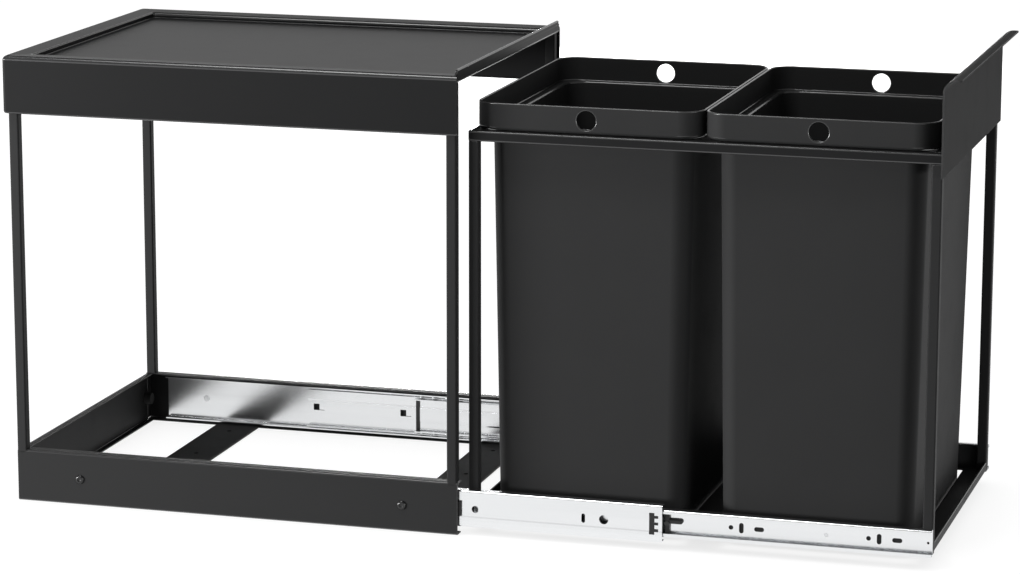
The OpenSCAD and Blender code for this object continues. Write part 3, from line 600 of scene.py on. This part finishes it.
black_oxide = skinned(
    "black_oxide", dark=(0.008, 0.008, 0.0085), light=(0.012, 0.012, 0.0125),
    rough=0.28, rough_marks=0.36, grain=1800.0, bump=0.00001, specular=0.5,
)
low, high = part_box("slide_screws")
around = np.linspace(0, 2 * np.pi, SCREW_STEPS, endpoint=False)
flats = np.cos(np.pi / 6) / np.cos(around % (np.pi / 3) - np.pi / 6)
radius, height, hexagon = SCREW_PROFILE[:, :, None].transpose(1, 0, 2)
radius = radius * (1 + hexagon * (flats - 1)) / 1000
head = SCREW_PROFILE[:, 0].max() / 1000
seat = high.y - SCREW_PROFILE[:, 1].max() / 1000
ring_x = radius * np.cos(around)
ring_z = radius * np.sin(around) + (low.z + high.z) / 2
out = np.broadcast_to(seat + height / 1000, ring_x.shape)
spots = [(x, side) for x in (low.x + head, high.x - head) for side in (-1, 1)]
points = np.stack([np.stack([x + ring_x, side * out, ring_z], -1) for x, side in spots])
one = closed_rings(points[0])
step = len(SCREW_PROFILE) * SCREW_STEPS
faces = [[k + n * step for k in face] for n in range(len(spots)) for face in one]
screws = new_piece("slide_screws_turned", points, faces, "slide_screws", (black_oxide,), smooth=35.0)
screws.data.materials.append(bright)
riveted = np.zeros(len(one), np.int32)
riveted[:RIVETED_RINGS * SCREW_STEPS] = 1
riveted[-2] = 1
screws.data.polygons.foreach_set("material_index", np.tile(riveted, len(spots)))

# Rail screws, handle screws and lever rivets
# Plated screws and blackened rivets, nearly all hidden between the rails and behind the plate.

dress(("inner_rail_screws", "handle_screws"), bright)
dress(("lever_rivets",), black_oxide)

# Front clips, end stops and rear clips
# Small black mouldings at the ends of the rails, which guide and stop them.

moulding = skinned(
    "black_moulding", dark=(0.010, 0.010, 0.0105), light=(0.014, 0.014, 0.0145),
    rough=0.34, rough_marks=0.4, grain=1600.0, bump=0.00002, specular=0.35,
)
CLIPS = ("front_clip", "end_stop", "rear_clip")
dress([f"{side}_{clip}" for side in SIDES for clip in CLIPS], moulding)

# Release levers
# Black moulded tees that turn on rivets: a block across the rail with a round tongue, which a
# finger presses to free the inner rail.

BLOCK_WIDTH = 0.0046
BLOCK_EDGE = 0.0007
TONGUE_HEIGHT = 0.005
TONGUE_RISE = 0.002
PLAN_STEPS = 14


def rounded_plan(half_x, half_y, radius):
    """Closed rectangles with quarter-circle corners, one for each entry of the three arrays."""
    quarter = np.arange(4)[:, None] * np.pi / 2
    angle = (quarter + np.linspace(0, np.pi / 2, PLAN_STEPS + 1)[None, :]).reshape(-1)
    corner = np.repeat(quarter[:, 0] + np.pi / 4, PLAN_STEPS + 1)
    x = np.sign(np.cos(corner)) * (half_x - radius)[:, None] + radius[:, None] * np.cos(angle)
    y = np.sign(np.sin(corner)) * (half_y - radius)[:, None] + radius[:, None] * np.sin(angle)
    return np.stack([x, y], -1)


for node in ("near_release_lever", "far_release_lever"):
    low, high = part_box(node)
    centre = (low + high) / 2
    arc = np.linspace(0, np.pi / 2, BEND_STEPS + 1)
    inset = BLOCK_EDGE * (1 - np.concatenate([np.sin(arc), np.cos(arc)]))
    depth = np.concatenate([
        low.y + BLOCK_EDGE * (1 - np.cos(arc)), high.y - BLOCK_EDGE * (1 - np.sin(arc))
    ])
    plan = rounded_plan(
        BLOCK_WIDTH / 2 - inset, (high.z - low.z) / 2 - inset, np.full_like(inset, BLOCK_EDGE)
    )
    block = np.stack([
        low.x + BLOCK_WIDTH / 2 + plan[:, :, 0],
        np.broadcast_to(depth[:, None], plan.shape[:2]),
        centre.z + plan[:, :, 1],
    ], -1)
    around = np.linspace(0, 2 * np.pi, 4 * BEND_STEPS, endpoint=False)
    share = np.concatenate([[1.0], np.cos(arc[:-1]), [0.02]])[:, None]
    along = np.concatenate([
        [low.x + BLOCK_WIDTH / 2], high.x - TONGUE_HEIGHT / 2 * (1 - np.sin(arc))
    ])[:, None]
    tongue = np.stack(np.broadcast_arrays(
        along,
        centre.y + share * (high.y - low.y) / 2 * np.cos(around),
        centre.z + TONGUE_RISE + share * TONGUE_HEIGHT / 2 * np.sin(around),
    ), -1)
    start = block.shape[0] * block.shape[1]
    faces = closed_rings(block) + [[k + start for k in face] for face in closed_rings(tongue)]
    points = np.concatenate([block.reshape(-1, 3), tongue.reshape(-1, 3)])
    new_piece(f"{node}_moulding", points, faces, node, (moulding,), smooth=50.0)

# Carriage frame
# A ring of square tube on four stands, with folded bars across the ends, a flat bar between the
# bins and folded sills along the slides. It is welded and coated like the frame. The end bars'
# flanges reach a little nearer to the bins than the solids do.

BAR_SHEET = 0.002
FLANGE_REACH = 0.0015

for node in ("rear_near_stand", "rear_far_stand", "front_near_stand", "front_far_stand"):
    tube_piece(node, axis=2)
# The ring bars take the tray's darker copy of the coat, a painted shade.
for node in ("near_ring_bar", "far_ring_bar"):
    tube_piece(node, axis=0, coat=(painted_shade_coat, painted_highlight_bend_coat))
for node in ("rear_ring_bar", "front_ring_bar"):
    tube_piece(node, axis=1, coat=(painted_shade_coat, painted_highlight_bend_coat))
for node, wall in (("rear_bottom_bar", 0), ("front_bottom_bar", 1)):
    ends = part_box(node)
    outer = ends[wall].x + (0.5 - wall) * BAR_SHEET
    floor_z = ends[0].z + BAR_SHEET / 2
    inner = ends[1 - wall].x + (1 - 2 * wall) * FLANGE_REACH
    section = [(outer, ends[1].z), (outer, floor_z), (inner, floor_z)]
    points, faces = folded_bar(bent(section, BAR_SHEET), ends[0].y, ends[1].y, "y", BAR_SHEET)
    new_piece(f"{node}_angle", points, faces, node, COAT, EDGE_BEVEL)
dress(("near_sill", "far_sill", "mid_bottom_bar"), powder_coat)

# Handle plate
# A sheet across the front of the ring, screwed on from behind. Its top edge is curled forwards
# into a lip that fingers hook under.

# The plate's coat is a lighter copy of the frame's black coat: painted light on the plate.
painted_light_plate_coat = skinned(
    "black_plate_coat_painted_light", dark=(0.058, 0.0582, 0.0586), light=(0.062, 0.0622, 0.0626),
    rough=0.7, rough_marks=0.75, grain=1100.0, bump=0.00003, specular=0.03,
)

LIP_RADIUS = 0.012
LIP_CORNER = 0.003

low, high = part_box("handle_plate")
plate_x = low.x + SHEET / 2
lip_z = high.z - SHEET / 2
section = bent([(plate_x, low.z), (plate_x, lip_z), (high.x, lip_z)], LIP_RADIUS - SHEET / 2)
turn = np.linspace(0, np.pi / 2, BEND_STEPS + 1)
tip = np.stack([
    high.x - LIP_CORNER + LIP_CORNER * np.sin(turn), np.full(turn.shape, lip_z)
], -1)
points, faces = folded_bar(np.concatenate([section[:-1], tip]), low.y, high.y, "y")
past = np.clip(points[:, 0] - (high.x - LIP_CORNER), 0, LIP_CORNER)
pulled = LIP_CORNER - np.sqrt(LIP_CORNER ** 2 - past ** 2)
points[:, 1] -= np.sign(points[:, 1]) * pulled
new_piece("handle_plate_sheet", points, faces, "handle_plate", (painted_light_plate_coat, painted_highlight_bend_coat), EDGE_BEVEL)

# Bins
# Two moulded bins hang in the ring by the ledge under their collars. Wall, ledge and collar are
# one moulding with a bead round the mouth, and a finger hole through each side of the collar.

WALL = 0.002
COLLAR_CORNER = 0.022
CORNER_LOSS = 1 / 3
LEDGE = 0.012
TAPER = 0.006
FOOT_BEND = 0.0035
LEDGE_BEND = 0.0022
BEAD_RISE = 0.0012
BEAD_LEAN = 0.0002
BEAD_TOP = 0.0028
BEAD_WIDTH = 0.004
BEAD_BEND = 0.0011
NECK = 0.004
NECK_BEND = 0.006
FINGER_RADIUS = 0.0093
FINGER_STEPS = 64
SOFT = 0.0009
COLLAR_HEIGHT = 0.026
SMOOTH_TURN = 50.0

bin_plastic = skinned(
    "black_bin_plastic", dark=(0.031, 0.0312, 0.0316), light=(0.035, 0.0352, 0.0356),
    rough=0.6, rough_marks=0.64, grain=1500.0, bump=0.00003, specular=0.06,
)
bin_edge = skinned(
    "black_bin_plastic_edge", dark=(0.031, 0.0312, 0.0316), light=(0.035, 0.0352, 0.0356),
    rough=0.22, rough_marks=0.26, grain=1500.0, bump=0.00001, specular=0.9,
)


def bin_piece(node):
    """A wall section in inset and height, thickened to both sides and carried round rounded
    rectangles whose corners tighten with the inset, with flat floors inside and outside. Its
    foot is as matt as its walls."""
    low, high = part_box(node)
    centre = (low + high) / 2
    ledge_z = high.z - COLLAR_HEIGHT + WALL / 2
    mouth = LEDGE + WALL / 2
    section = bent([
        (mouth + TAPER + 2.5 * FOOT_BEND, low.z + WALL / 2),
        (mouth + TAPER, low.z + WALL / 2),
        (mouth, ledge_z - NECK),
        (mouth - BEAD_LEAN, ledge_z + BEAD_RISE),
        (mouth - BEAD_TOP, ledge_z + BEAD_RISE),
        (mouth - BEAD_WIDTH, ledge_z),
        (WALL / 2, ledge_z),
        (WALL / 2, high.z - WALL / 2),
    ], [FOOT_BEND, NECK_BEND, BEAD_BEND, BEAD_BEND, BEAD_BEND, LEDGE_BEND])
    left, right = both_sides(section, WALL)
    rim_angle = np.linspace(0, np.pi, BEND_STEPS + 1)[1:-1]
    rim = np.stack([
        WALL / 2 + (left[-1, 0] - WALL / 2) * np.cos(rim_angle),
        high.z - WALL / 2 + WALL / 2 * np.sin(rim_angle),
    ], -1)
    rings = np.concatenate([left, rim, right[::-1]])
    radius = COLLAR_CORNER - rings[:, 0] * CORNER_LOSS
    plan = rounded_plan(
        (high.x - low.x) / 2 - rings[:, 0], (high.y - low.y) / 2 - rings[:, 0], radius
    )
    count, around = plan.shape[:2]
    height = np.broadcast_to(rings[:, 1][:, None, None], (count, around, 1))
    points = np.concatenate([plan + (centre.x, centre.y), height], -1)
    faces = closed_rings(points)
    piece = new_piece(
        f"{node}_moulding", points, faces, node, (bin_plastic, bin_edge), smooth=SMOOTH_TURN
    )
    middle = np.empty(len(faces) * 3)
    piece.data.polygons.foreach_get("center", middle)
    coat = np.empty(len(faces), np.int32)
    piece.data.polygons.foreach_get("material_index", coat)
    coat[middle[2::3] < low.z + 2 * FOOT_BEND] = 0
    piece.data.polygons.foreach_set("material_index", coat)
    finger_z = high.z - COLLAR_HEIGHT / 2
    turn = np.linspace(0, 2 * np.pi, FINGER_STEPS, endpoint=False)
    flare = np.array([
        (-WALL, 1.6 * SOFT + WALL), (0, SOFT), (0.4 * SOFT, 0.4 * SOFT), (SOFT, 0),
        (WALL - SOFT, 0), (WALL - 0.4 * SOFT, 0.4 * SOFT), (WALL, SOFT), (2 * WALL, SOFT),
    ])
    depth = np.concatenate([low.y + flare[:, 0], high.y - flare[::-1, 0]])[:, None]
    reach = FINGER_RADIUS + np.concatenate([flare[:, 1], flare[::-1, 1]])[:, None]
    drill_points = np.stack(np.broadcast_arrays(
        centre.x + reach * np.cos(turn), depth, finger_z + reach * np.sin(turn)
    ), -1)
    drill_mesh = bpy.data.meshes.new("finger_drill")
    drill_faces = closed_rings(drill_points)
    drill_points = drill_points.reshape(-1, 3)
    drill_mesh.from_pydata(drill_points.tolist(), [], drill_faces)
    drill_mesh.validate()
    for material in (bin_plastic, bin_edge):
        drill_mesh.materials.append(material)
    drill_mesh.polygons.foreach_set("material_index", np.ones(len(drill_faces), np.int32))
    work = bmesh.new()
    work.from_mesh(drill_mesh)
    bmesh.ops.recalc_face_normals(work, faces=work.faces)
    work.to_mesh(drill_mesh)
    work.free()
    drill = bpy.data.objects.new("finger_drill", drill_mesh)
    bpy.context.scene.collection.objects.link(drill)
    cut = piece.modifiers.new("finger_holes", "BOOLEAN")
    cut.operation = "DIFFERENCE"
    cut.solver = "EXACT"
    cut.object = drill
    bpy.context.view_layer.update()
    evaluated = piece.evaluated_get(bpy.context.evaluated_depsgraph_get())
    drilled = bpy.data.meshes.new_from_object(evaluated)
    piece.modifiers.clear()
    piece.data = drilled
    drilled.shade_smooth()
    drilled.set_sharp_from_angle(angle=np.radians(SMOOTH_TURN))
    even_shading(piece)
    bpy.data.objects.remove(drill)


for node in ("rear_bin", "front_bin"):
    bin_piece(node)

# Floor and light
# A plain white floor under soft studio light; the background is white to the camera and in
# reflections, while the floor keeps the object's shadow. To the camera the floor's glow is
# dimmed by ambient occlusion under and near the object, a painted shadow beside the real one.

FLOOR_REACH = 12.0

floor_mesh = bpy.data.meshes.new("floor")
corners = np.array([(-1, -1), (1, -1), (1, 1), (-1, 1)]) * FLOOR_REACH
floor_mesh.from_pydata([(x, y, 0.0) for x, y in corners], [], [(0, 1, 2, 3)])
floor = bpy.data.objects.new("floor", floor_mesh)
bpy.context.scene.collection.objects.link(floor)
white = bpy.data.materials.new("white_floor")
white.use_nodes = True
tree = white.node_tree
shader = tree.nodes["Principled BSDF"]
shader.inputs["Base Color"].default_value = (0.18, 0.18, 0.18, 1.0)
shader.inputs["Roughness"].default_value = 0.9
shader.inputs["Specular IOR Level"].default_value = 0.0
paths = shader_node(tree, "ShaderNodeLightPath")
also = shader_node(tree, "ShaderNodeMath", {"operation": "ADD", "use_clamp": True})
# Near and under the object, ambient occlusion dims the floor's glow to the camera: a painted shadow.
painted_shadow_occlusion = shader_node(tree, "ShaderNodeAmbientOcclusion", {"samples": 8}, Distance=0.12)
shade = shader_node(tree, "ShaderNodeMapRange", To_Min=0.75, To_Max=1.0)
lift = shader_node(tree, "ShaderNodeMath", {"operation": "MULTIPLY_ADD"})
tree.links.new(paths.outputs["Is Glossy Ray"], also.inputs[0])
tree.links.new(paths.outputs["Is Transmission Ray"], also.inputs[1])
tree.links.new(painted_shadow_occlusion.outputs["AO"], shade.inputs["Value"])
tree.links.new(paths.outputs["Is Camera Ray"], lift.inputs[0])
tree.links.new(shade.outputs["Result"], lift.inputs[1])
tree.links.new(also.outputs[0], lift.inputs[2])
shader.inputs["Emission Color"].default_value = (1.0, 1.0, 1.0, 1.0)
tree.links.new(lift.outputs[0], shader.inputs["Emission Strength"])
floor_mesh.materials.append(white)

world = bpy.data.worlds.new("studio")
bpy.context.scene.world = world
world.use_nodes = True
tree = world.node_tree
sky = tree.nodes["Background"]
paths = shader_node(tree, "ShaderNodeLightPath")
seen = shader_node(tree, "ShaderNodeMath", {"operation": "ADD"})
also = shader_node(tree, "ShaderNodeMath", {"operation": "ADD", "use_clamp": True})
level = shader_node(tree, "ShaderNodeMapRange", To_Min=0.14)
place = shader_node(tree, "ShaderNodeTexCoord")
height = shader_node(tree, "ShaderNodeSeparateXYZ")
wall = shader_node(tree, "ShaderNodeMapRange", From_Min=0.26, From_Max=0.4, To_Min=1.0, To_Max=0.15)
tree.links.new(paths.outputs["Is Camera Ray"], seen.inputs[0])
tree.links.new(paths.outputs["Is Glossy Ray"], seen.inputs[1])
tree.links.new(seen.outputs[0], also.inputs[0])
tree.links.new(paths.outputs["Is Transmission Ray"], also.inputs[1])
tree.links.new(also.outputs[0], level.inputs["Value"])
tree.links.new(place.outputs["Generated"], height.inputs[0])
tree.links.new(height.outputs["Z"], wall.inputs["Value"])
tree.links.new(wall.outputs["Result"], level.inputs["To Max"])
tree.links.new(level.outputs["Result"], sky.inputs["Strength"])
sky.inputs["Color"].default_value = (1.0, 1.0, 1.0, 1.0)


def soft_box(name, place, aim, width, height, power):
    """A rectangular area lamp at a place, facing a point."""
    lamp = bpy.data.lights.new(name, "AREA")
    lamp.shape = "RECTANGLE"
    lamp.size = width
    lamp.size_y = height
    lamp.energy = power
    made = bpy.data.objects.new(name, lamp)
    made.location = place
    made.rotation_euler = (Vector(aim) - Vector(place)).to_track_quat("-Z", "Y").to_euler()
    bpy.context.scene.collection.objects.link(made)


middle = (cad_box[0] + cad_box[1]) / 2
aim = (middle.x, 0.0, 0.25)
soft_box("top_light", (middle.x - 0.55, -0.8, 2.25), middle, 1.2, 0.6, 20.0)
soft_box("near_light", (middle.x - 2.6, -2.0, 0.3), aim, 1.6, 0.3, 124.0)
soft_box("front_light", (middle.x + 2.6, -1.2, 0.42), aim, 1.6, 0.4, 17.0)
soft_box("rear_light", (middle.x - 0.8, 3.0, 0.16), aim, 1.2, 0.24, 60.0)

# Camera
# A long lens at the photograph's angle: a little to the front end and above the tray.

camera_data = bpy.data.cameras.new("camera")
camera_data.sensor_width = 36.0
PHOTO_WIDTH = 1020
FOCAL_PIXELS = 3665.0
CAMERA_YAW = 0.28414
CAMERA_PITCH = 0.20944
CAMERA_ROLL = 0.00148
CAMERA_PLACE = Vector((0.9955, -3.4096, 0.9626))
camera_data.lens = FOCAL_PIXELS * camera_data.sensor_width / PHOTO_WIDTH
camera_data.clip_end = 100.0
camera = bpy.data.objects.new("camera", camera_data)
bpy.context.scene.collection.objects.link(camera)
tray_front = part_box("top_tray")[1].x
turned = Matrix.Rotation(CAMERA_YAW, 4, "Z") @ Matrix.Rotation(np.pi / 2 - CAMERA_PITCH, 4, "X")
turned = turned @ Matrix.Rotation(CAMERA_ROLL, 4, "Z")
camera.matrix_world = Matrix.Translation(CAMERA_PLACE + Vector((tray_front, 0, 0))) @ turned
bpy.context.scene.camera = camera
bpy.context.scene.view_settings.view_transform = "Standard"
